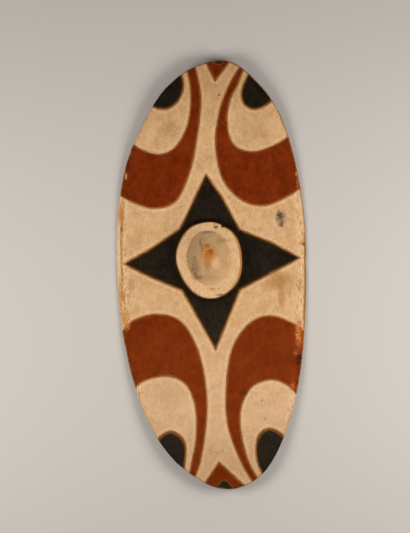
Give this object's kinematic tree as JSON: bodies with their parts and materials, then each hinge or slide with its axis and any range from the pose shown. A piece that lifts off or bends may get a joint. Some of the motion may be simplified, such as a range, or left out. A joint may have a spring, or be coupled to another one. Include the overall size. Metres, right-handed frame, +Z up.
{
  "type": "ceremonial shield",
  "caption": "Long oval shield carved from one plank, bowed across its width, with an oval boss hollowed behind for a carved grip, and grooved painted fields.",
  "frame": {"origin": "middle of the footprint, on the surface that the shield's two side edges rest on", "axes": "+Y along the shield to its upper tip, +X to the right as the painted front is looked at from above, +Z up out of the painted front"},
  "size_m": [0.511, 1.15, 0.095],
  "materials": {
    "painted_wood": "limewashed wood with hooks and triangles in matt red ochre, a star and eyes in soot black, bare wood in the grooves, at the worn edges and on the back"
  },
  "bodies": {
    "root": {"shield": "painted_wood"}
  },
  "joints": []
}
